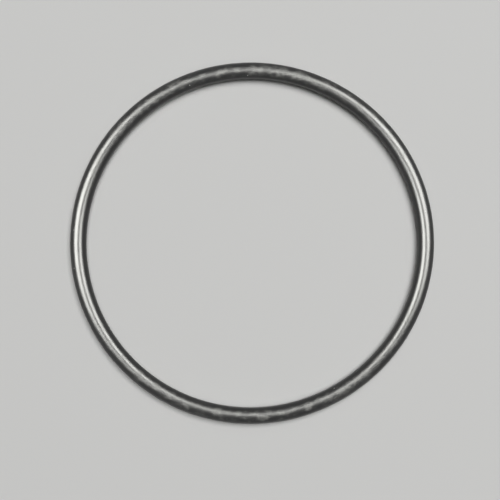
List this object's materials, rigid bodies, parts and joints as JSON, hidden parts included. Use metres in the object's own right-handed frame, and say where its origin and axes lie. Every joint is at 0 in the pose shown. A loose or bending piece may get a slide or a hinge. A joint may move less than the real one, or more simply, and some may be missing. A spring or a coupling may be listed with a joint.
{
  "type": "rubber o-ring",
  "caption": "Moulded rubber sealing ring of round section, with a fine parting-line flash inside and outside.",
  "frame": {"origin": "centre of the ring, on its mid plane", "axes": "+Z along the ring's axis, up when it lies flat"},
  "size_m": [0.0796, 0.0796, 0.0036],
  "materials": {
    "rubber": "black rubber of unknown kind, satin as moulded, with fine marks along the ring and pale dust"
  },
  "bodies": {
    "root": {"o_ring": "rubber"}
  },
  "joints": []
}
